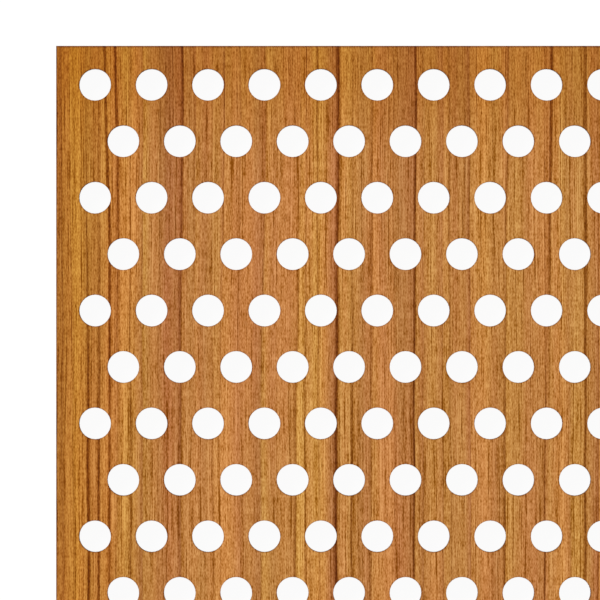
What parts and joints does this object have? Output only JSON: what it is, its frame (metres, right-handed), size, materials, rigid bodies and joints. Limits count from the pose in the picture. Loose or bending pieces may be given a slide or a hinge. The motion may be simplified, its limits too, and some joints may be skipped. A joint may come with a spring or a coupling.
{
  "type": "perforated acoustic wood panel",
  "caption": "Square wood board drilled through with an even field of staggered round holes, with a plain margin and eased edges, to absorb sound on a wall or ceiling.",
  "frame": {"origin": "centre of the back face, on the surface that the panel lies on", "axes": "+Z out of the face side, through the thickness; +Y along the grain to the edge that is at the top on a wall; +X to the right seen from the face side"},
  "size_m": [0.598, 0.598, 0.012],
  "materials": {
    "wood": "satin"
  },
  "bodies": {
    "root": {"perforated_panel": "wood"}
  },
  "joints": []
}
